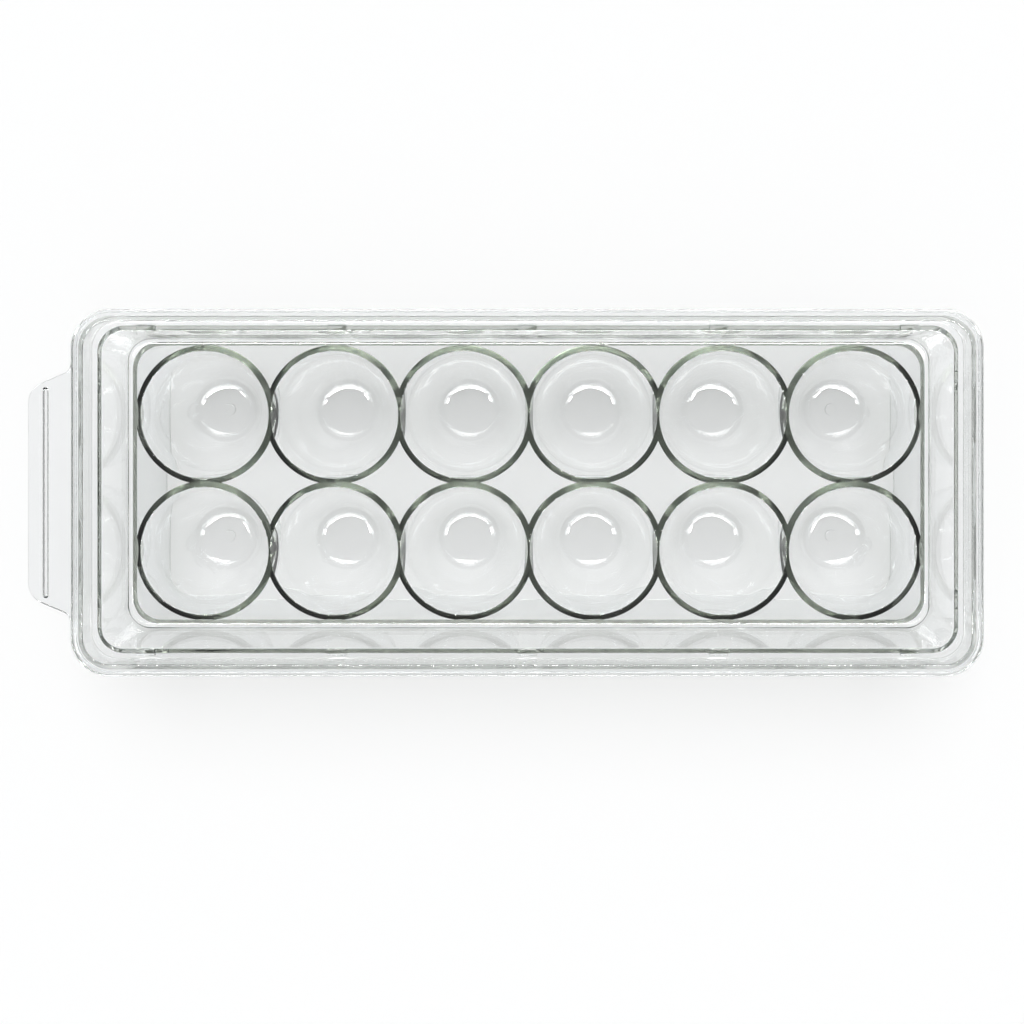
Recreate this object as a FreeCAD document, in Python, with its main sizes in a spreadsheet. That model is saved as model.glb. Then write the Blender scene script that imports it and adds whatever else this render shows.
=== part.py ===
# Clear plastic egg tray for a refrigerator: two rows of six egg cups, a stepped rim and a
# pull handle at one end. Millimetres, +Z up, handle towards -X, standing on Z = 0, with the
# origin under the middle of the whole outline.
#
# The tray is one moulding. It is divided here into the features that a mould maker would name,
# which meet face to face and never overlap.
import FreeCAD, Part
import math
import os
import Sketcher

Vector = FreeCAD.Vector

# The side of the middle line that each row of cups stands on, and the bands of flat faces up
# the two arcs of a cup's side.
rows = {"front": -1, "back": 1}
bowl_bands = 3
blend_bands = 2

# Driving dimensions, all in millimetres.
sizes = {
    "lip_length": 313.0,        # outer edge of the rim, without the handle
    "lip_width": 126.0,
    "lip_radius": 13.5,
    "tray_height": 71.0,
    "wall": 1.8,
    "collar_wall": 1.7,         # upright wall above the ledge
    "flange_reach": 2.5,        # rim top outside the collar
    "flange_thick": 1.6,
    "lip_thick": 1.0,           # turned-down edge of the rim
    "lip_drop": 2.9,
    "ledge_inset": 7.5,         # inner edge of the ledge, in from the lip
    "ledge_radius": 7.5,
    "ledge_top": 61.5,
    "foot_inset": 10.5,         # foot of the drafted side wall, in from the lip
    "foot_radius": 8.0,
    "foot_fillet": 2.5,         # between the deck and the side wall
    "deck_top": 40.0,
    "skirt_inset": 12.7,        # inner face of the skirt under the deck, in from the lip
    "skirt_radius": 9.0,
    "skirt_draft": 0.2,         # each face of the skirt, over its whole height
    "cup_columns": 6,
    "pitch_along": 47.5,        # cup centres along the tray
    "pitch_across": 49.9,
    "mouth_radius": 23.4,
    "mouth_wall": 2.2,          # wall of a cup where it leaves the deck
    "cup_wall": 1.5,            # wall of a cup from its waist down
    "cup_draft": 6.0,           # degrees, from the mouth to the waist
    "cup_depth": 37.0,
    "straight_depth": 11.0,     # from the mouth to the waist
    "bowl_radius": 44.0,
    "floor_blend": 8.0,         # radius between the bowl and the flat floor
    "cup_facets": 28,           # flat faces round a cup
    "handle_reach": 14.5,
    "handle_root": 89.0,        # length of the handle along the rim, flares included
    "handle_slope": 23.0,       # degrees, ends of the handle
    "flare_radius": 3.8,
    "corner_radius": 7.5,
    "rib_inset": 5.75,          # grip rib, in from the handle's edge
    "rib_width": 1.7,
    "rib_length": 72.0,
    "rib_height": 1.2,
    "lug_length": 6.5,
    "lug_depth": 2.2,
    "lug_height": 1.2,
    "lug_pitch": 66.7,
    "pip_radius": 2.4,
    "pip_top_radius": 1.8,
    "pip_height": 0.8,
    "pip_facets": 12,
}

# Sizes that follow from the ones above.
derived = {
    "collar_inset": "=flange_reach + collar_wall",
    "collar_radius": "=lip_radius - flange_reach",
    "wall_top_inset": "=ledge_inset - wall",
    "wall_top_radius": "=ledge_radius + wall",
    "wall_foot_inset": "=foot_inset - wall",
    "wall_foot_radius": "=foot_radius + wall",
    "wall_low_inset": "=wall_foot_inset - (wall_foot_inset - wall_top_inset) * wall"
                      " / (ledge_top - deck_top)",
    "wall_draft": "=atan((foot_inset - ledge_inset) / (ledge_top - wall - deck_top)) / 1 deg",
    "foot_reach": "=foot_fillet * tan((90 - wall_draft) / 2)",
    "fillet_middle": "=(90 + wall_draft) / 2",
    "skirt_face_inset": "=skirt_inset - wall",
    "skirt_face_radius": "=skirt_radius + wall",
    "deck_under": "=deck_top - wall",
    "ledge_under": "=ledge_top - wall",
    "flange_under": "=tray_height - flange_thick",
    "lip_under": "=flange_under - lip_drop",
    "body_shift": "=handle_reach / 2",
    "turn": "=90 - handle_slope",
    "flare_across": "=flare_radius * (1 - cos(turn))",
    "flare_along": "=flare_radius * sin(turn)",
    "corner_across": "=corner_radius * (1 - cos(turn))",
    "corner_along": "=corner_radius * sin(turn)",
    "slope_across": "=handle_reach - flare_across - corner_across",
    "slope_along": "=slope_across * tan(handle_slope)",
    "tip_length": "=handle_root - 2 * (flare_along + slope_along + corner_along)",
    "last_column": "=(cup_columns - 1) / 2",
    "end_wall": "=lip_length / 2 - skirt_inset - last_column * pitch_along",
    "long_wall": "=lip_width / 2 - skirt_inset - pitch_across / 2",
    "waist_radius": "=mouth_radius - straight_depth * tan(cup_draft)",
    "waist_level": "=deck_top - straight_depth",
    "floor_level": "=deck_top - cup_depth",
    "bowl_centre": "=waist_radius - bowl_radius * cos(cup_draft)",
    "bowl_level": "=waist_level + bowl_radius * sin(cup_draft)",
    "blend_level": "=floor_level + floor_blend",
    "blend_rise": "=bowl_level - blend_level",
    "floor_radius": "=bowl_centre + sqrt((bowl_radius - floor_blend) ^ 2 - blend_rise ^ 2)",
    "lean": "=asin(blend_rise / (bowl_radius - floor_blend)) / 1 deg",
    "cup_spread": "=sqrt(2 * pi / (cup_facets * sin(360 / cup_facets)))",
    "pip_spread": "=sqrt(2 * pi / (pip_facets * sin(360 / pip_facets)))",
}


def fill_sheet(doc):
    sheet = doc.addObject("Spreadsheet::Sheet", "Sizes")
    for number, (alias, value) in enumerate({**sizes, **derived}.items(), start=1):
        sheet.set(f"A{number}", alias)
        sheet.set(f"B{number}", str(value))
        sheet.setAlias(f"B{number}", alias)
    doc.recompute()
    return sheet


def cell(alias):
    return f"Sizes.{alias}"


outer_mouth = f"{cell('mouth_radius')} + {cell('mouth_wall')}"


def number(expression):
    # The present value of an expression, for the first guess of a sketch's geometry.
    value = sheet.evalExpression(expression)
    return float(getattr(value, "Value", value))


def bind(item, **links):
    for path, expression in links.items():
        item.setExpression(path.replace("__", "."), expression)


def origin_plane(body, role):
    return next(plane for plane in body.Origin.OriginFeatures if plane.Role == role)


def new_body(name):
    body = doc.addObject("PartDesign::Body", name)
    body.Label = name
    bind(body, Placement__Base__x=cell("body_shift"))
    return body


def flat_sketch(body, name, level):
    sketch = body.newObject("Sketcher::SketchObject", name)
    sketch.AttachmentSupport = (origin_plane(body, "XY_Plane"), [""])
    sketch.MapMode = "FlatFace"
    bind(sketch, AttachmentOffset__Base__z=level)
    return sketch


def dimension(sketch, kind, *where, value):
    # A driving dimension of the sketch, bound to the sheet.
    index = sketch.addConstraint(Sketcher.Constraint(kind, *where, number(value)))
    sketch.renameConstraint(index, f"size{index}")
    sketch.setExpression(f"Constraints.size{index}", value)


def join_tangent(sketch, count):
    for edge in range(count):
        following = (edge + 1) % count
        sketch.addConstraint(Sketcher.Constraint("Tangent", edge, 2, following, 1))


def arc(centre, radius, start, end):
    circle = Part.Circle(centre, Vector(0, 0, 1), radius)
    return Part.ArcOfCircle(circle, math.radians(start), math.radians(end))


def rounded_rectangle(body, name, inset, radius, level):
    # Rounded rectangle, the rim's outline moved in by the inset.
    half_length = f"{cell('lip_length')} / 2 - ({inset})"
    half_width = f"{cell('lip_width')} / 2 - ({inset})"
    x, y, r = number(half_length), number(half_width), number(radius)
    sketch = flat_sketch(body, name, level)
    corners = [(x - r, r - y, -90), (x - r, y - r, 0), (r - x, y - r, 90), (r - x, r - y, 180)]
    starts = [(r - x, -y), (x, r - y), (x - r, y), (-x, y - r)]
    ends = [(x - r, -y), (x, y - r), (r - x, y), (-x, r - y)]
    for start, end, (cx, cy, angle) in zip(starts, ends, corners):
        sketch.addGeometry(Part.LineSegment(Vector(*start, 0), Vector(*end, 0)), False)
        sketch.addGeometry(arc(Vector(cx, cy, 0), r, angle, angle + 90), False)
    join_tangent(sketch, 8)
    for side, kind in ((0, "Horizontal"), (2, "Vertical"), (4, "Horizontal"), (6, "Vertical")):
        sketch.addConstraint(Sketcher.Constraint(kind, side))
    for corner in (3, 5, 7):
        sketch.addConstraint(Sketcher.Constraint("Equal", 1, corner))
    dimension(sketch, "Radius", 1, value=radius)
    dimension(sketch, "DistanceX", -1, 1, 2, 1, value=half_length)
    dimension(sketch, "DistanceX", 6, 1, -1, 1, value=half_length)
    dimension(sketch, "DistanceY", -1, 1, 4, 1, value=half_width)
    dimension(sketch, "DistanceY", 0, 1, -1, 1, value=half_width)
    return sketch


def loft(body, kind, name, sections):
    profiles = [rounded_rectangle(body, f"{name}_{index}", *section)
                for index, section in enumerate(sections)]
    feature = body.newObject(f"PartDesign::{kind}Loft", name)
    feature.Profile = profiles[0]
    feature.Sections = [(profile, [""]) for profile in profiles[1:]]
    feature.Ruled = True


def ring(name, outside, inside):
    # Wall that runs round the tray, between faces lofted through (inset, radius, level) outlines.
    body = new_body(name)
    loft(body, "Additive", f"{name}_outside", outside)
    loft(body, "Subtractive", f"{name}_inside", inside)
    return body


def upright_ring(name, outside, inside, bottom, top):
    return ring(name, [(*outside, bottom), (*outside, top)], [(*inside, bottom), (*inside, top)])


def foot_outline(slope):
    # Outline of the foot's fillet where its centre sees it this far below the horizontal.
    inset = f"{cell('foot_inset')} + {cell('foot_reach')} - {cell('foot_fillet')} * cos({slope})"
    radius = f"{cell('foot_radius')} - {cell('foot_reach')} + {cell('foot_fillet')} * cos({slope})"
    level = f"{cell('deck_top')} + {cell('foot_fillet')} * (1 - sin({slope}))"
    return inset, radius, level


def side_wall():
    # Drafted wall between the deck and the ledge, with a filleted foot.
    outside = [(cell("wall_low_inset"), cell("wall_foot_radius"), cell("deck_top")),
               (cell("wall_top_inset"), cell("wall_top_radius"), cell("ledge_under"))]
    inside = [foot_outline("90"), foot_outline(cell("fillet_middle")),
              foot_outline(cell("wall_draft")),
              (cell("ledge_inset"), cell("ledge_radius"), cell("ledge_under"))]
    return ring("side_wall", outside, inside)


def base_skirt():
    # Both faces lean towards each other as they go down.
    drafted = f"{cell('skirt_face_inset')} + {cell('skirt_draft')}"
    opened = f"{cell('skirt_inset')} - {cell('skirt_draft')}"
    outside = [(drafted, cell("skirt_face_radius"), "0"),
               (cell("skirt_face_inset"), cell("skirt_face_radius"), cell("deck_under"))]
    inside = [(opened, cell("skirt_radius"), "0"),
              (cell("skirt_inset"), cell("skirt_radius"), cell("deck_under"))]
    return ring("base_skirt", outside, inside)


def walls():
    lip = ("0", cell("lip_radius"))
    lip_inside = (cell("lip_thick"), f"{cell('lip_radius')} - {cell('lip_thick')}")
    collar = (cell("flange_reach"), cell("collar_radius"))
    collar_inside = (cell("collar_inset"), f"{cell('collar_radius')} - {cell('collar_wall')}")
    ledge = (cell("ledge_inset"), cell("ledge_radius"))
    return [
        base_skirt(),
        side_wall(),
        upright_ring("rim_ledge", collar, ledge, cell("ledge_under"), cell("ledge_top")),
        upright_ring("rim_collar", collar, collar_inside, cell("ledge_top"), cell("tray_height")),
        upright_ring("rim_flange", lip, collar, cell("flange_under"), cell("tray_height")),
        upright_ring("rim_lip", lip, lip_inside, cell("lip_under"), cell("flange_under")),
    ]


def handle_outline(body):
    # Plate outline: a flare off the rim, a sloping end, a rounded corner, and the same again.
    sketch = flat_sketch(body, "handle_outline", cell("flange_under"))
    edge = -number(cell("lip_length")) / 2
    tip = edge - number(cell("handle_reach"))
    root = number(cell("handle_root")) / 2
    flare = number(cell("flare_radius"))
    corner = number(cell("corner_radius"))
    turn = number(cell("turn"))
    tip_end = number(cell("tip_length")) / 2
    flare_end = Vector(edge - number(cell("flare_across")), root - number(cell("flare_along")), 0)
    corner_start = Vector(tip + number(cell("corner_across")),
                          tip_end + number(cell("corner_along")), 0)
    flare_centre = Vector(edge - flare, root, 0)
    corner_centre = Vector(tip + corner, tip_end, 0)

    def low(point):
        return Vector(point.x, -point.y, 0)

    outline = [
        Part.LineSegment(Vector(edge, -root, 0), Vector(edge, root, 0)),
        arc(flare_centre, flare, -turn, 0),
        Part.LineSegment(flare_end, corner_start),
        arc(corner_centre, corner, 180 - turn, 180),
        Part.LineSegment(Vector(tip, tip_end, 0), Vector(tip, -tip_end, 0)),
        arc(low(corner_centre), corner, 180, 180 + turn),
        Part.LineSegment(low(corner_start), low(flare_end)),
        arc(low(flare_centre), flare, 0, turn),
    ]
    for piece in outline:
        sketch.addGeometry(piece, False)
    # The flares are hollow curves, so the outline meets them the other way round.
    for joint in ((0, 2, 1, 2), (1, 1, 2, 1), (2, 2, 3, 1), (3, 2, 4, 1),
                  (4, 2, 5, 1), (5, 2, 6, 1), (6, 2, 7, 2), (7, 1, 0, 1)):
        sketch.addConstraint(Sketcher.Constraint("Tangent", *joint))
    sketch.addConstraint(Sketcher.Constraint("Symmetric", 0, 1, 0, 2, -1))
    sketch.addConstraint(Sketcher.Constraint("Symmetric", 4, 1, 4, 2, -1))
    sketch.addConstraint(Sketcher.Constraint("Equal", 1, 7))
    sketch.addConstraint(Sketcher.Constraint("Equal", 3, 5))
    dimension(sketch, "DistanceX", 0, 1, -1, 1, value=f"{cell('lip_length')} / 2")
    dimension(sketch, "DistanceX", 4, 1, 0, 1, value=cell("handle_reach"))
    dimension(sketch, "DistanceY", 0, 1, 0, 2, value=cell("handle_root"))
    dimension(sketch, "DistanceY", 4, 2, 4, 1, value=cell("tip_length"))
    dimension(sketch, "Radius", 1, value=cell("flare_radius"))
    dimension(sketch, "Radius", 3, value=cell("corner_radius"))
    return sketch


def pad(body, name, sketch, length, downward=False):
    feature = body.newObject("PartDesign::Pad", name)
    feature.Profile = sketch
    feature.Reversed = downward
    bind(feature, Length=length)
    return feature


def pull_handle():
    body = new_body("pull_handle")
    pad(body, "handle_plate", handle_outline(body), cell("flange_thick"))
    return body


def grip_rib():
    # Slot-shaped bead under the handle.
    body = new_body("handle_grip_rib")
    sketch = flat_sketch(body, "rib_outline", cell("flange_under"))
    middle = f"{cell('lip_length')} / 2 + {cell('handle_reach')} - {cell('rib_inset')}"
    radius = f"{cell('rib_width')} / 2"
    straight = f"{cell('rib_length')} - {cell('rib_width')}"
    x, r, y = -number(middle), number(radius), number(straight) / 2
    sketch.addGeometry(Part.LineSegment(Vector(x + r, -y, 0), Vector(x + r, y, 0)), False)
    sketch.addGeometry(arc(Vector(x, y, 0), r, 0, 180), False)
    sketch.addGeometry(Part.LineSegment(Vector(x - r, y, 0), Vector(x - r, -y, 0)), False)
    sketch.addGeometry(arc(Vector(x, -y, 0), r, 180, 360), False)
    join_tangent(sketch, 4)
    sketch.addConstraint(Sketcher.Constraint("Symmetric", 0, 1, 0, 2, -1))
    dimension(sketch, "Radius", 1, value=radius)
    dimension(sketch, "DistanceY", 0, 1, 0, 2, value=straight)
    dimension(sketch, "DistanceX", 1, 3, -1, 1, value=middle)
    pad(body, "rib_bead", sketch, cell("rib_height"), downward=True)
    return body


def faceted(name, facets, sections):
    # Many-sided form through (radius, level) sections, as full as the round one it stands for.
    form = doc.addObject("Part::Loft", name)
    outlines = []
    for index, (radius, level) in enumerate(sections):
        outline = doc.addObject("Part::RegularPolygon", f"{name}_{index}")
        bind(outline, Polygon=cell(f"{facets}_facets"), Placement__Base__z=level,
             Circumradius=f"({radius}) * {cell(f'{facets}_spread')}")
        outlines.append(outline)
    form.Sections = outlines
    form.Solid = True
    form.Ruled = True
    form.Linearize = True
    return form


def cup_arc(centre, level, radius, start, end, bands):
    # Sections along an arc of a cup's side, between two slopes in degrees below the level.
    sections = []
    for band in range(bands + 1):
        slope = f"({start} + ({end} - {start}) * {band} / {bands})"
        sections.append((f"{centre} + {radius} * cos({slope})",
                         f"{level} - {radius} * sin({slope})"))
    return sections


def cup_form(name, mouth, skin, top, upright):
    # Mouth, drafted wall, bowl, blend and flat floor. The skin is the wall thickness, or nought
    # for the hollow.
    bowl = cup_arc(cell("bowl_centre"), cell("bowl_level"), f"({cell('bowl_radius')} + {skin})",
                   cell("cup_draft"), cell("lean"), bowl_bands)
    blend = cup_arc(cell("floor_radius"), cell("blend_level"),
                    f"({cell('floor_blend')} + {skin})", cell("lean"), "90", blend_bands)
    return faceted(name, "cup", [(mouth, top), (mouth, upright)] + bowl + blend[1:])


def boolean(kind, name, base, tool):
    result = doc.addObject(f"Part::{kind}", name)
    result.Base = base
    result.Tool = tool
    return result


def block(name, left, right, near, far, bottom, top):
    # Box from its distances to the left, right, near and far of the origin.
    box = doc.addObject("Part::Box", name)
    bind(box, Length=f"{left} + {right}", Width=f"{near} + {far}", Height=f"{top} - {bottom}",
         Placement__Base__x=f"-({left})", Placement__Base__y=f"-({near})",
         Placement__Base__z=bottom)
    return box


def cup_place(column, side):
    along = f"{cell('body_shift')} + ({column} - {cell('last_column')}) * {cell('pitch_along')}"
    across = f"{side / 2} * {cell('pitch_across')}"
    return along, across


def cup_limits(name, column, side):
    # Half-way to each neighbour, or the foot of the side wall.
    half_along = f"{cell('pitch_along')} / 2"
    half_across = f"{cell('pitch_across')} / 2"
    left = cell("end_wall") if column == 0 else half_along
    right = cell("end_wall") if column == columns - 1 else half_along
    near = cell("long_wall") if side < 0 else half_across
    far = half_across if side < 0 else cell("long_wall")
    return block(name, left, right, near, far, "0", cell("deck_top"))


def egg_cups():
    # Each cup is cut off half-way to its neighbours, where their walls run together, or at the
    # foot of the side wall.
    outside = cup_form("cup_outside", outer_mouth, cell("cup_wall"), cell("deck_top"),
                       cell("deck_under"))
    inside = cup_form("cup_inside", cell("mouth_radius"), "0",
                      f"{cell('deck_top')} + {cell('wall')}", cell("deck_top"))
    cups = []
    for row, side in rows.items():
        for column in range(columns):
            name = f"egg_cup_{row}_{column + 1}"
            limits = cup_limits(f"{name}_limits", column, side)
            shell = boolean("Common", f"{name}_shell", outside, limits)
            cup = boolean("Cut", name, shell, inside)
            along, across = cup_place(column, side)
            bind(cup, Placement__Base__x=along, Placement__Base__y=across)
            cup.Label = name
            cups.append(cup)
    return cups


def cup_posts():
    # What the cups take out of the deck, up to the foot of the side wall.
    posts = []
    for row, side in rows.items():
        for column in range(columns):
            post = doc.addObject("Part::Prism", f"post_{row}_{column + 1}")
            along, across = cup_place(column, side)
            bind(post, Polygon=cell("cup_facets"), Height=cell("deck_top"),
                 Circumradius=f"({outer_mouth}) * {cell('cup_spread')}",
                 Placement__Base__x=along, Placement__Base__y=across)
            posts.append(post)
    group = doc.addObject("Part::MultiFuse", "cup_posts")
    group.Shapes = posts
    reach = f"{cell('end_wall')} + {cell('last_column')} * {cell('pitch_along')}"
    half_width = f"{cell('long_wall')} + {cell('pitch_across')} / 2"
    field = block("cup_field", f"{reach} - {cell('body_shift')}",
                  f"{reach} + {cell('body_shift')}", half_width, half_width,
                  "0", cell("deck_top"))
    return boolean("Common", "deck_openings", group, field)


def deck():
    # Plate round and between the cups: a frame that reaches the side wall, and the five
    # four-sided panels left along the middle, which touch nothing but the cups.
    plate = new_body("deck_plate")
    outline = rounded_rectangle(plate, "deck_outline", cell("wall_foot_inset"),
                                cell("wall_foot_radius"), cell("deck_under"))
    pad(plate, "deck_pad", outline, cell("wall"))
    pierced = boolean("Cut", "pierced_deck", plate, cup_posts())
    reach = f"{cell('last_column')} * {cell('pitch_along')}"
    middle = block("deck_middle", f"{reach} - {cell('body_shift')}",
                   f"{reach} + {cell('body_shift')}", cell("mouth_radius"),
                   cell("mouth_radius"), "0", cell("deck_top"))
    frame = boolean("Cut", "deck_frame", pierced, middle)
    frame.Label = "deck_frame"
    panels = boolean("Common", "deck_panels", pierced, middle)
    panels.Label = "deck_panels"
    return [frame, panels]


def compound(name, pieces):
    group = doc.addObject("Part::Compound", name)
    group.Links = pieces
    group.Label = name
    return group


def ledge_lugs():
    # Low blocks on the inner edge of the ledge, five along each long side.
    inner = f"({cell('lip_width')} / 2 - {cell('ledge_inset')})"
    lugs = []
    for side in (-1, 1):
        for place in (-2, -1, 0, 1, 2):
            lug = doc.addObject("Part::Box", f"lug_{len(lugs) + 1}")
            start = inner if side > 0 else f"-{inner} - {cell('lug_depth')}"
            bind(lug, Length=cell("lug_length"), Width=cell("lug_depth"),
                 Height=cell("lug_height"), Placement__Base__y=start,
                 Placement__Base__x=f"{cell('body_shift')} + {place} * {cell('lug_pitch')}"
                                    f" - {cell('lug_length')} / 2",
                 Placement__Base__z=cell("ledge_top"))
            lugs.append(lug)
    return compound("ledge_lugs", lugs)


def gate_pips():
    # Small raised pips on the floors of the four corner cups.
    pips = []
    for side in rows.values():
        for column in (0, columns - 1):
            pip = faceted(f"pip_{len(pips) + 1}", "pip",
                          [(cell("pip_radius"), "0"), (cell("pip_top_radius"),
                                                       cell("pip_height"))])
            along, across = cup_place(column, side)
            bind(pip, Placement__Base__x=along, Placement__Base__y=across,
                 Placement__Base__z=cell("floor_level"))
            pips.append(pip)
    return compound("gate_pips", pips)


def check(nodes):
    for item in doc.Objects:
        if "Invalid" in item.State or "Error" in item.State:
            raise RuntimeError(f"{item.Label} did not build: {item.State}")
    for node in nodes:
        shape = node.Shape
        if shape.isNull() or not shape.isValid() or not shape.Solids:
            raise RuntimeError(f"{node.Label} is not a sound solid")
        box = shape.optimalBoundingBox(False)
        print(f"{node.Label}: {len(shape.Solids)} solid, {shape.Volume:.0f} mm3, "
              f"x {box.XMin:.2f} {box.XMax:.2f}, y {box.YMin:.2f} {box.YMax:.2f}, "
              f"z {box.ZMin:.2f} {box.ZMax:.2f}")


columns = sizes["cup_columns"]
doc = FreeCAD.newDocument("egg_tray")
sheet = fill_sheet(doc)
nodes = walls() + deck() + egg_cups()
nodes += [pull_handle(), grip_rib(), ledge_lugs(), gate_pips()]
doc.recompute()
check(nodes)
os.makedirs("parts", exist_ok=True)
for node in nodes:
    node.Shape.exportStep(f"parts/{node.Label}.step")
print(f"{len(nodes)} nodes written")
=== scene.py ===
# Clear egg tray for a refrigerator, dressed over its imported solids. Metres, +Z up,
# handle towards -X. The sizes in the dictionaries below are in millimetres.
import math
import bpy
import numpy as np
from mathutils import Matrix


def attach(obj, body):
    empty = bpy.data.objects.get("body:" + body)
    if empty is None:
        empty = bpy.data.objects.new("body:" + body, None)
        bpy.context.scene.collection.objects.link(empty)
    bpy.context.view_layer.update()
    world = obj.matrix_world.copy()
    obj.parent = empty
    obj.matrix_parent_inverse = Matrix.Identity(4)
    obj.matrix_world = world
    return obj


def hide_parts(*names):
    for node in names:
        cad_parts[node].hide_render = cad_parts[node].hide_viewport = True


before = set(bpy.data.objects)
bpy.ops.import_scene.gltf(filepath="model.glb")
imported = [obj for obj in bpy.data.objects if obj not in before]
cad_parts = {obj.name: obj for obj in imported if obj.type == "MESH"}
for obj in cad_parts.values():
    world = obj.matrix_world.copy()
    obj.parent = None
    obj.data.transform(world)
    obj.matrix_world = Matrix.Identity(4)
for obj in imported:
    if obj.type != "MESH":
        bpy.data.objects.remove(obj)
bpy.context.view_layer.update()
print("frame loaded")

mm = 0.001
weldStep = 1e-4    # corners closer than this, in millimetres, are one


def hexLinear(text):
    # An sRGB hex colour as linear RGBA: c / 12.92 up to 0.04045, else ((c + 0.055) / 1.055) ** 2.4.
    values = np.array([int(text[i:i + 2], 16) for i in (1, 3, 5)]) / 255
    linear = np.where(values <= 0.04045, values / 12.92, ((values + 0.055) / 1.055) ** 2.4)
    return (*(float(v) for v in linear), 1.0)


# ---- the moulded tray -------------------------------------------------------------------

tray = {
    "middle": 7.25,          # x of the tray's middle, without the handle
    "halfLength": 156.5,     # rim, without the handle
    "halfWidth": 63.0,
    "straightLong": 141.5,   # half of the ledge's straight edges
    "straightShort": 48.0,
    "deckTop": 40.0,
    "deckUnder": 38.2,
    "fieldInset": 12.7,      # outline that the cup cells fill, in from the rim
    "fieldRadius": 9.0,
}

cup = {
    "pitchLong": 47.5,
    "pitchShort": 49.9,
    "mouth": 23.4,
    "mouthWall": 2.2,        # wall where the cup leaves the deck
    "wall": 1.5,
    "waistLevel": 29.0,
    "draft": 6.0,            # degrees, from the mouth to the waist
    "bowl": 44.0,
    "blend": 8.0,
    "floorLevel": 3.0,
    "edge": 0.25,            # rounding of the mouth
    "pipRadius": 2.4,
    "pipHeight": 0.8,
}

handle = {
    "reach": 14.5,
    "root": 44.5,            # half of its length along the rim
    "slope": 23.0,           # degrees
    "flare": 3.8,
    "corner": 7.5,
    "ribCentre": 8.75,       # from the rim
    "ribHalf": 35.15,
    "ribDrop": 1.2,
}

lug = {"pitch": 66.7, "half": 3.25, "height": 1.2, "depth": 2.2}


halfPitchLong = cup["pitchLong"] / 2
halfPitchShort = cup["pitchShort"] / 2
endWall = tray["halfLength"] - tray["fieldInset"] - 2.5 * cup["pitchLong"]
longWall = tray["halfWidth"] - tray["fieldInset"] - halfPitchShort
mouthOut = cup["mouth"] + cup["mouthWall"]


def arcPoints(centreX, centreZ, radius, start, end, count):
    # Points on a circle: centre + radius * (cos a, sin a) for a from start to end, in degrees.
    angles = np.radians(np.linspace(start, end, count + 1))
    return np.stack([centreX + radius * np.cos(angles), centreZ + radius * np.sin(angles)], 1)


def cupProfile(skin):
    # Half section of a bowl as (radius, level) points from the floor to the waist: the blend's
    # arc, then the bowl's, which ends on the drafted wall. The skin widens both arcs.
    draft = math.radians(cup["draft"])
    waist = cup["mouth"] - (tray["deckTop"] - cup["waistLevel"]) * math.tan(draft)
    centre = waist - cup["bowl"] * math.cos(draft)
    level = cup["waistLevel"] + cup["bowl"] * math.sin(draft)
    rise = level - cup["floorLevel"] - cup["blend"]
    lean = math.degrees(math.asin(rise / (cup["bowl"] - cup["blend"])))
    floorRadius = centre + math.sqrt((cup["bowl"] - cup["blend"]) ** 2 - rise ** 2)
    blendArc = arcPoints(floorRadius, cup["floorLevel"] + cup["blend"], cup["blend"] + skin,
                         -90, -lean, 8)
    bowlArc = arcPoints(centre, level, cup["bowl"] + skin, -lean, -cup["draft"], 9)
    return np.concatenate([blendArc, bowlArc[1:]])


def boundaryAngles(reach, halfSide):
    # Places along one side of a cup's cell: reach * tan(a), with a at most five degrees apart and
    # one at acos(reach / mouth), where the side comes out of the cup's wall.
    last = math.degrees(math.atan(halfSide / reach))
    stops = [0.0, math.degrees(math.acos(reach / mouthOut)), last]
    angles = np.concatenate([np.linspace(a, b, max(1, math.ceil((b - a) / 5.0)) + 1)[:-1]
                             for a, b in zip(stops, stops[1:])] + [[last]])
    return reach * np.tan(np.radians(angles))


def bothWays(places):
    # The places and their mirror images, in order.
    return np.unique(np.round(np.concatenate([-places, places]), 6))


def straightMap(place, knot, end, span):
    # Carries a place on the ledge's straight edge to another outline's: the same up to the knot,
    # then stretched so that the end falls on the span.
    size = np.interp(np.abs(place), [0, knot, end], [0, knot, span])
    return np.sign(place) * size


def outline(loop, inset, radius):
    # Rounded rectangle: (X(u) + radius * cos a, Y(v) + radius * sin a), where (u, v, a) are the
    # loop's places along the straight edges and its corner angle.
    spanX = tray["halfLength"] - inset - radius
    spanY = tray["halfWidth"] - inset - radius
    low = spanX < 139.5
    x = straightMap(loop["u"], 118 if low else 138, tray["straightLong"], spanX)
    y = straightMap(loop["v"], 30 if low else 46, tray["straightShort"], spanY)
    return x + radius * np.cos(loop["a"]), y + radius * np.sin(loop["a"])


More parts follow.
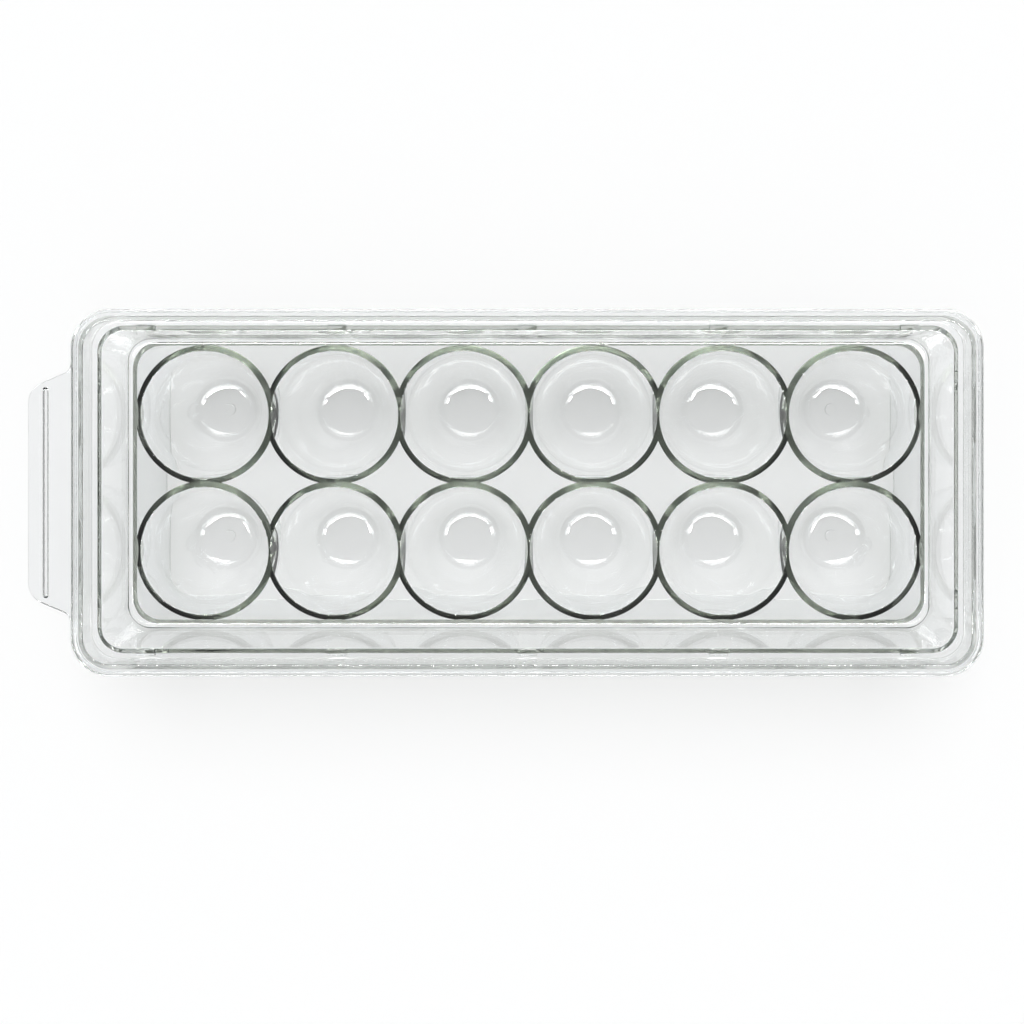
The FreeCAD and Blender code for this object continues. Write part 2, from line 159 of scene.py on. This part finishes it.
def handleReach(place):
    # How far the handle stands out of the rim at a place along it: flare arc, sloping line,
    # corner arc, then the full reach.
    turn = math.radians(90 - handle["slope"])
    flareAcross = handle["flare"] * (1 - math.cos(turn))
    flareEnd = handle["root"] - handle["flare"] * math.sin(turn)
    cornerAcross = handle["corner"] * (1 - math.cos(turn))
    slopeAcross = handle["reach"] - flareAcross - cornerAcross
    cornerStart = flareEnd - slopeAcross * math.tan(math.radians(handle["slope"]))
    cornerEnd = cornerStart - handle["corner"] * math.sin(turn)
    y = np.abs(place)
    flareSine = np.clip((y - handle["root"]) / handle["flare"], -1, 0)
    onFlare = handle["flare"] * (1 - np.sqrt(1 - flareSine ** 2))
    onSlope = flareAcross + (flareEnd - y) / math.tan(math.radians(handle["slope"]))
    cornerSine = np.clip((y - cornerEnd) / handle["corner"], 0, 1)
    onCorner = handle["reach"] - handle["corner"] * (1 - np.sqrt(1 - cornerSine ** 2))
    reach = np.where(y > flareEnd, onFlare, np.where(y > cornerStart, onSlope, onCorner))
    reach = np.where(y >= handle["root"], 0, np.where(y <= cornerEnd, handle["reach"], reach))
    stops = np.concatenate([
        handle["root"] - handle["flare"] * np.sin(np.linspace(0, turn, 7)),
        np.linspace(flareEnd, cornerStart, 4)[1:],
        cornerEnd + handle["corner"] * np.sin(np.linspace(turn, 0, 9))[1:]])
    return reach, stops


def perimeterLoop():
    # The loop of places round the tray, anticlockwise from the middle of the left end: its left
    # end, near side, right end and far side with the corner angles between them.
    cells = boundaryAngles(longWall, halfPitchLong)
    centres = cup["pitchLong"] * (np.arange(6) - 2.5)
    base = np.concatenate([centre + bothWays(cells) for centre in centres])
    spanBase = tray["halfLength"] - tray["fieldInset"] - tray["fieldRadius"]
    base = base[np.abs(base) <= spanBase]
    long = np.interp(np.abs(base), [0, 118, spanBase], [0, 118, tray["straightLong"]])
    ends = lug["half"] + np.array([0.05, -0.05, -0.3])
    lugEnds = np.concatenate([np.abs(k * lug["pitch"] + s * ends)
                              for k in (0, 1, 2) for s in (-1, 1)])
    long = bothWays(np.concatenate([long, lugEnds, [tray["straightLong"]]]))
    cells = boundaryAngles(endWall, halfPitchShort)
    base = np.concatenate([s * halfPitchShort + bothWays(cells) for s in (-1, 1)])
    spanBase = tray["halfWidth"] - tray["fieldInset"] - tray["fieldRadius"]
    base = base[np.abs(base) <= spanBase]
    short = np.interp(np.abs(base), [0, 30, spanBase], [0, 30, tray["straightShort"]])
    ribEnds = handle["ribHalf"] + np.array([0, 0.3, 0.6, 0.8, 0.95])
    short = bothWays(np.concatenate([short, handleReach(0.0)[1], ribEnds,
                                     [tray["straightShort"]]]))
    turns = np.radians(np.linspace(0, 90, 13))[1:-1]
    u, v, a = [], [], []
    sides = [(-1, 0, 180, short[short <= 0][::-1]), (0, -1, 270, long), (1, 0, 0, short),
             (0, 1, 90, long[::-1]), (-1, 0, 180, short[short > 0][::-1])]
    for i, (x, y, angle, places) in enumerate(sides):
        u.append(places if x == 0 else np.full(len(places), x * tray["straightLong"]))
        v.append(places if y == 0 else np.full(len(places), y * tray["straightShort"]))
        a.append(np.full(len(places), math.radians(angle)))
        if i < 4:
            cornerX = -1 if i in (0, 3) else 1
            cornerY = -1 if i in (0, 1) else 1
            u.append(np.full(len(turns), cornerX * tray["straightLong"]))
            v.append(np.full(len(turns), cornerY * tray["straightShort"]))
            a.append(math.radians(angle) + turns)
    return {"u": np.concatenate(u), "v": np.concatenate(v), "a": np.concatenate(a)}


def lugRise(loop):
    # 1 over a lug, 0 beside it, with a rounded step at each end; lugs stand on both long sides.
    longSide = np.abs(np.cos(loop["a"])) < 1e-6
    nearest = np.abs(loop["u"] - lug["pitch"] * np.clip(np.round(loop["u"] / lug["pitch"]), -2, 2))
    rise = np.interp(nearest, lug["half"] + np.array([-0.3, -0.05, 0.05]), [1, 0.8, 0])
    return np.where(longSide, rise, 0)


def ribDepth(across, along):
    # Depth of the grip rib by the distance to its spine: a bead with steep rounded sides.
    away = np.hypot(across - handle["ribCentre"], np.maximum(np.abs(along) - handle["ribHalf"], 0))
    return handle["ribDrop"] * np.interp(away, [0.3, 0.6, 0.85, 0.95], [1, 0.82, 0.4, 0])


def roundedSection(corners):
    # Carries a section's corners (inset, level, outline radius, rounding, segments) into stations:
    # each rounding is an arc tangent to both runs, at rounding * tan(turn / 2) from the corner.
    stations = [(corners[0][0], corners[0][1], corners[0][2])]
    for before, (inset, level, radius, size, count), after in zip(corners, corners[1:],
                                                                  corners[2:]):
        if size == 0:
            stations.append((inset, level, radius))
            continue
        corner = np.array([inset, level])
        back = np.array(before[:2]) - corner
        ahead = np.array(after[:2]) - corner
        back, ahead = back / np.hypot(*back), ahead / np.hypot(*ahead)
        turn = math.pi - math.acos(np.clip(back @ ahead, -1, 1))
        reach = size * math.tan(turn / 2)
        middle = corner + (back + ahead) / np.hypot(*(back + ahead)) * size / math.cos(turn / 2)
        start = corner + back * reach - middle
        angle0 = math.atan2(start[1], start[0])
        stop = corner + ahead * reach - middle
        angle1 = math.atan2(stop[1], stop[0])
        sweep = (angle1 - angle0 + math.pi) % (2 * math.pi) - math.pi
        for angle in angle0 + sweep * np.linspace(0, 1, count + 1):
            point = middle + size * np.array([math.cos(angle), math.sin(angle)])
            stations.append((point[0], point[1], radius + inset - point[0]))
    return stations + [corners[-1][:3]]


def rimSurface(loop):
    # The wall, ledge, rim, handle and skirt as one surface: each station of the section is an
    # outline of the loop at its inset and level; the handle moves the rim's edge outwards.
    inner = roundedSection([
        (12.7, 40.0, 9.0, 0, 0), (10.5, 40.0, 8.0, 2.5, 5), (7.5, 59.7, 7.5, 0, 0),
        (7.5, 61.5, 7.5, 0.4, 2), (5.3, 61.5, 8.7, 0, 0)])[:-1]
    crest = roundedSection([
        (5.3, 61.5, 8.7, 0, 0), (4.2, 61.5, 9.3, 0.4, 2), (4.2, 71.0, 9.3, 0.5, 3),
        (0.0, 71.0, 13.5, 0.6, 3), (0.0, 69.4, 13.5, 0, 0)])[1:-1]
    outer = roundedSection([
        (0.0, 69.4, 13.5, 0, 0), (0.0, 66.5, 13.5, 0.35, 2), (1.0, 66.5, 12.5, 0.3, 2),
        (1.0, 69.4, 12.5, 0.3, 2), (2.5, 69.4, 11.0, 0.3, 2), (2.5, 59.7, 11.0, 0.4, 2),
        (5.7, 59.7, 9.3, 0.5, 2), (8.7, 38.2, 9.8, 0.9, 3), (10.9, 38.2, 10.8, 0.5, 2),
        (11.1, 0.0, 10.8, 0.4, 2), (12.5, 0.0, 9.0, 0.4, 2), (12.7, 38.2, 9.0, 0, 0)])
    rise = lug["height"] * lugRise(loop)
    leftEnd = (np.abs(np.cos(loop["a"]) + 1) < 1e-9) & (loop["u"] < 0)
    reach = np.where(leftEnd, handleReach(loop["v"])[0], 0)
    rows = []

    def add(inset, level, radius, out=0.0, lift=0.0):
        x, y = outline(loop, inset, radius)
        rows.append(np.stack([x - out, y, level + lift + np.zeros(len(x))], 1))

    lipCentre = 13.5
    for station in inner:
        lifted = rise if station[1] > 60 else 0
        add(station[0], station[1], station[2], lift=lifted)
    back = 7.5 - lug["depth"]
    for inset, share in ((back + 0.35, 1.0), (back + 0.1, 0.9), (back, 0.7), (back - 0.05, 0.0)):
        add(inset, 61.5, 16.2 - inset - 2.2 + 0.0, lift=rise * share)
    for station in crest:
        edge = station[1] > 70 and station[0] < 1.0
        add(*station, out=reach if edge else 0)
    for inward, level in ((0.0, 69.85), (0.13, 69.53), (0.45, 69.4)):
        add(0.0, level, lipCentre, out=np.maximum(reach - inward, 0))
    room = np.maximum(reach - 0.45, 0)
    for across in handle["ribCentre"] + np.array([0.95, 0.85, 0.6, 0.3, -0.3, -0.6, -0.85, -0.95]):
        out = np.minimum(across, room)
        add(0.0, 69.4, lipCentre, out=out,
            lift=np.where(room > across, -ribDepth(out, loop["v"]), 0))
    for station in outer:
        add(*station)
    return np.stack(rows)


def cellSurfaces(edge, centreX, centreY, pip):
    # One cup with its share of the deck, over and under. The edge is the cell's outline, and a
    # point is centre + r(s, a) * (cos a, sin a), where r is the profile's radius, below the deck
    # held to the edge, where the walls of two cups run together.
    dx, dy = edge[:, 0] - centreX, edge[:, 1] - centreY
    reach = np.hypot(dx, dy)
    cosine, sine = dx / reach, dy / reach
    inside = cupProfile(0.0)
    lift = cup["pipHeight"] if pip else 0.0
    floor = cup["floorLevel"]
    turn = np.radians([0, 30, 60, 90])
    radii = np.concatenate([cup["pipRadius"] * np.array([0.45, 0.75, 0.9, 0.985, 1]), inside[:, 0],
                            cup["mouth"] + cup["edge"] * (1 - np.cos(turn))])
    levels = np.concatenate([floor + lift * np.array([1, 0.93, 0.75, 0.35, 0]), inside[:, 1],
                             tray["deckTop"] - cup["edge"] * (1 - np.sin(turn)),
                             [tray["deckTop"]]])
    radii = np.concatenate([np.repeat(radii[:, None], len(reach), 1), reach[None]])
    over = np.stack([centreX + radii * cosine, centreY + radii * sine,
                     np.repeat(levels[:, None], len(reach), 1)], 2)
    outside = np.concatenate([cupProfile(cup["wall"]), [[mouthOut, tray["deckUnder"]]]])
    cut = np.interp(reach, outside[:, 0], outside[:, 1])
    radii = np.minimum(outside[:, :1], reach)
    levels = np.where(outside[:, :1] <= reach, outside[:, 1:], cut)
    radii = np.concatenate([radii, reach[None]])
    levels = np.concatenate([levels, cut[None]])
    under = np.stack([centreX + radii * cosine, centreY + radii * sine, levels], 2)
    return over, under, (centreX, centreY, floor + lift), (centreX, centreY, floor - cup["wall"])


def gridFaces(rows, columns, closed, flip):
    # Two triangles for each cell of a grid of rows by columns; a closed grid wraps round.
    last = columns if closed else columns - 1
    r, c = np.meshgrid(np.arange(rows - 1), np.arange(last), indexing="ij")
    a = r * columns + c
    b = r * columns + (c + 1) % columns
    d, e = a + columns, b + columns
    faces = np.stack([np.stack([a, b, e], 2), np.stack([a, e, d], 2)], 2).reshape(-1, 3)
    return faces[:, ::-1] if flip else faces


def trayMesh():
    # All the surfaces in one array of corners, welded where they meet.
    points, faces = [], []
    count = 0

    def put(grid, flip, pole=None, mirror=(1, 1)):
        nonlocal count
        flip = flip ^ (mirror[0] * mirror[1] < 0)
        rows, columns = grid.shape[:2]
        flat = grid.reshape(-1, 3) * [mirror[0], mirror[1], 1]
        tris = gridFaces(rows, columns, True, flip)
        if pole is not None:
            flat = np.concatenate([flat, [np.array(pole) * [mirror[0], mirror[1], 1]]])
            ring = np.arange(columns)
            fan = np.stack([np.full(columns, rows * columns), ring, (ring + 1) % columns], 1)
            tris = np.concatenate([tris, fan[:, ::-1] if not flip else fan])
        points.append(flat)
        faces.append(tris + count)
        count += len(flat)

    loop = perimeterLoop()
    rim = rimSurface(loop)
    baseX, baseY = outline(loop, tray["fieldInset"], tray["fieldRadius"])
    column = np.clip(np.round(baseX / cup["pitchLong"] - 0.5), -3, 2) + 0.5
    away = np.hypot(baseX - column * cup["pitchLong"], np.abs(baseY) - halfPitchShort)
    outside = np.concatenate([cupProfile(cup["wall"]), [[mouthOut, tray["deckUnder"]]]])
    rim[-1, :, 2] = np.interp(away, outside[:, 0], outside[:, 1])
    put(rim, True)

    # The near left quarter has three cells; the rest are their mirror images.
    stop = int(np.argmax((np.abs(loop["u"]) < 1e-9) & (loop["v"] < 0))) + 1
    edge = np.stack([baseX, baseY], 1)[:stop]
    sideY = -halfPitchShort + np.concatenate([
        -boundaryAngles(halfPitchLong, longWall)[::-1],
        boundaryAngles(halfPitchLong, halfPitchShort)[1:]])
    for index in range(3):
        centreX = cup["pitchLong"] * (index - 2.5)
        left = centreX - (endWall if index == 0 else halfPitchLong)
        right = centreX + halfPitchLong
        wide = bothWays(boundaryAngles(halfPitchShort, halfPitchLong))
        topX = centreX + (np.concatenate([[-endWall], wide[1:]]) if index == 0 else wide)
        part = edge[(edge[:, 0] >= left - 1e-6) & (edge[:, 0] <= right + 1e-6)]
        loopPoints = [part, np.stack([np.full(len(sideY) - 2, right), sideY[1:-1]], 1),
                      np.stack([topX[::-1], np.zeros(len(topX))], 1)]
        if index == 0:
            loopPoints[2] = loopPoints[2][:-1]
        else:
            loopPoints.append(np.stack([np.full(len(sideY) - 2, left), sideY[-2:0:-1]], 1))
        ring = np.concatenate(loopPoints)
        over, under, top, bottom = cellSurfaces(ring, centreX, -halfPitchShort, index == 0)
        for mirror in ((1, 1), (-1, 1), (1, -1), (-1, -1)):
            put(over, True, top, mirror)
            put(under, False, bottom, mirror)

    points = np.concatenate(points)
    faces = np.concatenate(faces)
    # The places are whole millionths, so a third of a step keeps every one clear of rounding.
    steps = np.round(points / weldStep + 1 / 3).astype(np.int64)
    _, first, back = np.unique(steps, axis=0, return_index=True, return_inverse=True)
    points = points[first] + [tray["middle"], 0, 0]
    faces = back.ravel()[faces]
    real = ((faces[:, 0] != faces[:, 1]) & (faces[:, 1] != faces[:, 2])
            & (faces[:, 2] != faces[:, 0]))
    return points * mm, faces[real]


def solidMesh(name, points, faces):
    mesh = bpy.data.meshes.new(name)
    mesh.from_pydata(points.tolist(), [], faces.tolist())
    mesh.polygons.foreach_set("use_smooth", np.ones(len(faces), bool))
    mesh.set_sharp_from_angle(angle=math.radians(38))
    mesh.validate()
    piece = bpy.data.objects.new(name, mesh)
    bpy.context.scene.collection.objects.link(piece)
    return piece


points, faces = trayMesh()
shell = solidMesh("tray_shell", points, faces)
even = shell.modifiers.new("evenNormals", "WEIGHTED_NORMAL")
even.keep_sharp = True
even.weight = 90
print("tray made:", len(faces), "triangles")
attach(shell, "root")
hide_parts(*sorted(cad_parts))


# ---- materials --------------------------------------------------------------------------

def addNode(nodes, kind, settings=None, links=None):
    # One node with its settings and inputs: a value is set, a socket is linked.
    node = nodes.new(kind)
    for key, value in (settings or {}).items():
        setattr(node, key, value)
    for key, value in (links or {}).items():
        if isinstance(value, bpy.types.NodeSocket):
            nodes.id_data.links.new(value, node.inputs[key])
        else:
            node.inputs[key].default_value = value
    return node


plastic = {
    "tint": "#FCFDFE",        # what the polished face lets through
    "depthTint": "#C4C9C0",   # faint grey green, as crystal polystyrene has in depth
    "depthDensity": 40.0,     # per metre
    "ior": 1.59,
    "roughness": 0.01,
}


def clearPolystyrene():
    # Crystal polystyrene, injection moulded in a polished cavity: water clear with a hard bright
    # gloss, a faint grey green where it is seen on edge, and slow ripples left by the flow.
    # Lamps shine straight through it, less the share that each face mirrors; below the deck a steep
    # face loses only part of that share, which is painted light on the floor under the tray.
    material = bpy.data.materials.new("clear_polystyrene_moulded")
    material.use_nodes = True
    nodes = material.node_tree.nodes
    nodes.clear()
    place = addNode(nodes, "ShaderNodeTexCoord")
    ripple = addNode(nodes, "ShaderNodeTexNoise", {"noise_dimensions": "3D"},
                     {"Vector": place.outputs["Object"], "Scale": 40.0, "Detail": 1.0})
    bump = addNode(nodes, "ShaderNodeBump", None,
                   {"Height": ripple.outputs["Fac"], "Strength": 0.02, "Distance": 0.002})
    glass = addNode(nodes, "ShaderNodeBsdfPrincipled", None,
                    {"Base Color": hexLinear(plastic["tint"]), "IOR": plastic["ior"],
                     "Roughness": plastic["roughness"], "Transmission Weight": 1.0,
                     "Normal": bump.outputs["Normal"]})
    face = addNode(nodes, "ShaderNodeNewGeometry")
    turned = addNode(nodes, "ShaderNodeMath", {"operation": "MULTIPLY_ADD"},
                     {0: face.outputs["Backfacing"], 1: -2.0, 2: 1.0})
    faceIor = addNode(nodes, "ShaderNodeMath", {"operation": "POWER"},
                      {0: plastic["ior"], 1: turned.outputs[0]})
    mirrored = addNode(nodes, "ShaderNodeFresnel", None, {"IOR": faceIor.outputs[0]})
    # Painted light: below the deck the share that a face mirrors away from the lamps is scaled by
    # the square of its normal's upright part. So the steep cup walls cast a lighter shadow on the
    # floor than their gloss gives, standing in for the light that they turn aside onto the floor.
    # Above the deck the whole share is lost.
    level = addNode(nodes, "ShaderNodeSeparateXYZ", None, {0: place.outputs["Object"]})
    rise = addNode(nodes, "ShaderNodeMapRange", {"interpolation_type": "SMOOTHSTEP"},
                   {0: level.outputs["Z"], 1: 0.040, 2: 0.044, 3: 0.0, 4: 1.0})
    lean = addNode(nodes, "ShaderNodeSeparateXYZ", None, {0: face.outputs["Normal"]})
    laid = addNode(nodes, "ShaderNodeMath", {"operation": "MULTIPLY"},
                   {0: lean.outputs["Z"], 1: lean.outputs["Z"]})
    share = addNode(nodes, "ShaderNodeMath", {"operation": "MAXIMUM"},
                    {0: laid.outputs[0], 1: rise.outputs[0]})
    lost = addNode(nodes, "ShaderNodeMath", {"operation": "MULTIPLY"},
                   {0: mirrored.outputs[0], 1: share.outputs[0]})
    passed = addNode(nodes, "ShaderNodeMath", {"operation": "SUBTRACT"},
                     {0: 1.0, 1: lost.outputs[0]})
    lamp = addNode(nodes, "ShaderNodeBsdfTransparent", None, {"Color": passed.outputs[0]})
    path = addNode(nodes, "ShaderNodeLightPath")
    either = addNode(nodes, "ShaderNodeMath", {"operation": "MAXIMUM"},
                     {0: path.outputs["Is Shadow Ray"], 1: path.outputs["Is Diffuse Ray"]})
    mix = addNode(nodes, "ShaderNodeMixShader", None,
                  {"Fac": either.outputs[0], 1: glass.outputs[0], 2: lamp.outputs[0]})
    depth = addNode(nodes, "ShaderNodeVolumeAbsorption", None,
                    {"Color": hexLinear(plastic["depthTint"]),
                     "Density": plastic["depthDensity"]})
    addNode(nodes, "ShaderNodeOutputMaterial", None,
            {"Surface": mix.outputs[0], "Volume": depth.outputs[0]})
    return material


shell.data.materials.append(clearPolystyrene())
print("materials made")


# ---- floor, light and camera ------------------------------------------------------------

studio = {
    "floor": "#F4F4F4",
    "sky": "#F2F3F3",
    "skyStrength": 0.47,
    "horizonStrength": 0.02,
    "backdropStrength": 0.9,  # where the camera sees it straight
    "camera": (15.2 * mm, 52.3 * mm, 513.1 * mm),
    "focal": 1291.5,          # in pixels of the 1024 frame
    "nadir": (550.4, 340.2),  # where the photograph looks straight down
}

key = {"strength": 2.7, "angle": 38.0, "tilt": 25.0}

# Strips for the highlights: degrees from straight up, degrees round from +X, distance, width,
# height, watts.
strips = {
    "nearStrip": (34.0, -90.0, 1.4, 2.3, 0.26, 65.0),
    "nearLeft": (38.0, -152.0, 1.4, 0.2, 0.2, 5.0),
    "nearRight": (38.0, -28.0, 1.4, 0.2, 0.2, 5.0),
    "farStrip": (40.0, 90.0, 1.4, 1.6, 0.12, 30.0),
}

# The floor goes on past the lit paper, whose edges leave the dark of the room to the tray's gloss.
bpy.ops.mesh.primitive_plane_add(size=6, location=(0, 0, -0.0007))
floor = bpy.context.object
floor.name = "floor"
floor.visible_glossy = False
floor.visible_transmission = False
bpy.ops.mesh.primitive_plane_add(size=0.5, location=(0, 0, -0.0003))
paper = bpy.context.object
paper.name = "paper"
paint = bpy.data.materials.new("white_sweep_paper")
paint.use_nodes = True
paintShader = paint.node_tree.nodes["Principled BSDF"]
paintShader.inputs["Base Color"].default_value = hexLinear(studio["floor"])
paintShader.inputs["Roughness"].default_value = 0.9
paintShader.inputs["Specular IOR Level"].default_value = 0.0
floor.data.materials.append(paint)
paper.data.materials.append(paint)


def hangStrip(name, tilt, turn, distance, width, height, watts):
    # A lamp that faces the tray from a sphere round it, and shows in its gloss alone.
    tilt, turn = math.radians(tilt), math.radians(turn)
    lamp = bpy.data.objects.new(name, bpy.data.lights.new(name, "AREA"))
    lamp.data.shape = "RECTANGLE"
    lamp.data.size = width
    lamp.data.size_y = height
    lamp.data.energy = watts
    lamp.location = (distance * math.sin(tilt) * math.cos(turn),
                     distance * math.sin(tilt) * math.sin(turn), distance * math.cos(tilt))
    lamp.rotation_euler = (tilt, 0, turn + math.pi / 2)
    lamp.visible_diffuse = False
    bpy.context.scene.collection.objects.link(lamp)


for name, values in strips.items():
    hangStrip(name, *values)

sun = bpy.data.objects.new("key", bpy.data.lights.new("key", "SUN"))
sun.data.energy = key["strength"]
sun.data.angle = math.radians(key["angle"])
sun.rotation_euler = (-math.radians(key["tilt"]), 0, 0)
sun.visible_glossy = False
sun.visible_transmission = False
bpy.context.scene.collection.objects.link(sun)

world = bpy.data.worlds.new("studio")
bpy.context.scene.world = world
world.use_nodes = True
skyNodes = world.node_tree.nodes
heading = addNode(skyNodes, "ShaderNodeTexCoord")
height = addNode(skyNodes, "ShaderNodeSeparateXYZ", None, {0: heading.outputs["Generated"]})
dome = addNode(skyNodes, "ShaderNodeMapRange", {"interpolation_type": "SMOOTHSTEP"},
               {0: height.outputs["Z"], 1: 0.25, 2: 0.7,
                3: studio["horizonStrength"], 4: studio["skyStrength"]})
seen = addNode(skyNodes, "ShaderNodeLightPath")
strength = addNode(skyNodes, "ShaderNodeMix", {"data_type": "FLOAT"},
                   {0: seen.outputs["Is Camera Ray"], 2: dome.outputs[0],
                    3: studio["backdropStrength"]})
background = skyNodes["Background"]
background.inputs["Color"].default_value = hexLinear(studio["sky"])
world.node_tree.links.new(strength.outputs[0], background.inputs["Strength"])
bpy.context.scene.view_settings.view_transform = "Standard"

bpy.context.scene.cycles.max_bounces = 32
bpy.context.scene.cycles.glossy_bounces = 24
bpy.context.scene.cycles.transmission_bounces = 24
camera = bpy.data.objects.new("camera", bpy.data.cameras.new("camera"))
bpy.context.scene.collection.objects.link(camera)
bpy.context.scene.camera = camera
camera.location = studio["camera"]
camera.data.sensor_width = 36
camera.data.lens = studio["focal"] / 1024 * 36
camera.data.shift_x = -(studio["nadir"][0] - 512) / 1024
camera.data.shift_y = (studio["nadir"][1] - 512) / 1024
camera.data.clip_start = 0.05
camera.data.clip_end = 20
print("studio set")
